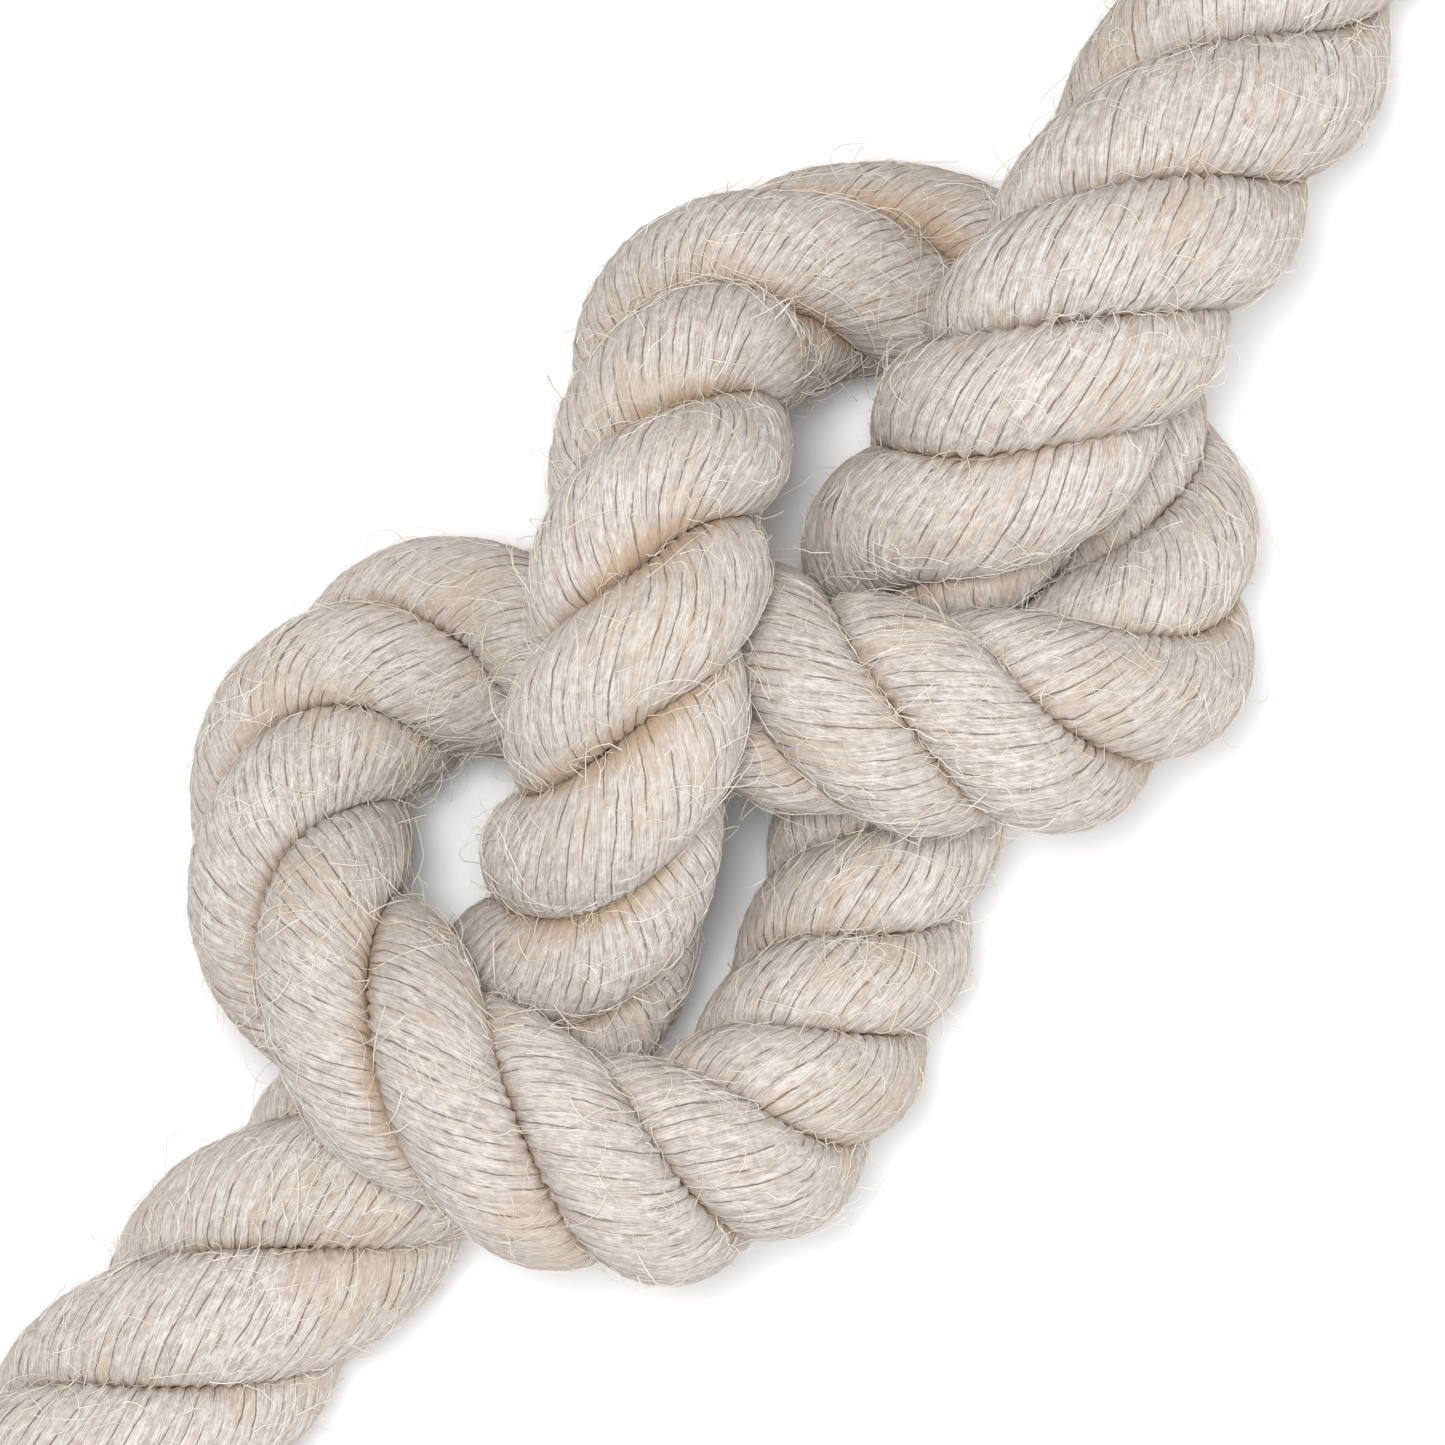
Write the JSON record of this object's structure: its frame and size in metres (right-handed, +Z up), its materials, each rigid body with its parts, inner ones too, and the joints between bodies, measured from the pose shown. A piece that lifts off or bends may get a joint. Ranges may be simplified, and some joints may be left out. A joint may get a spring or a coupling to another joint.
{
  "type": "dock line with a figure-eight knot",
  "caption": "Heavy three-strand natural-fibre rope with a figure-eight stopper knot near one whipped end and the rest in a tied coil.",
  "frame": {"origin": "on the ground under the middle of the line's box", "axes": "+Z up from the ground it lies on, +Y from the knot to the coil"},
  "size_m": [0.3636, 0.5806, 0.0785],
  "materials": {
    "rope_fibre": "undyed natural fibre, matte with stray hairs",
    "whipping_twine": "waxed twine",
    "tie_twine": "twisted twine"
  },
  "bodies": {
    "root": {"rope_knot_and_lead": "rope_fibre", "rope_coil": "rope_fibre", "rope_coil_end": "rope_fibre", "whipping_knot_end": "whipping_twine", "whipping_coil_end": "whipping_twine", "coil_tie_1": "tie_twine", "coil_tie_2": "tie_twine", "coil_tie_3": "tie_twine"}
  },
  "joints": []
}
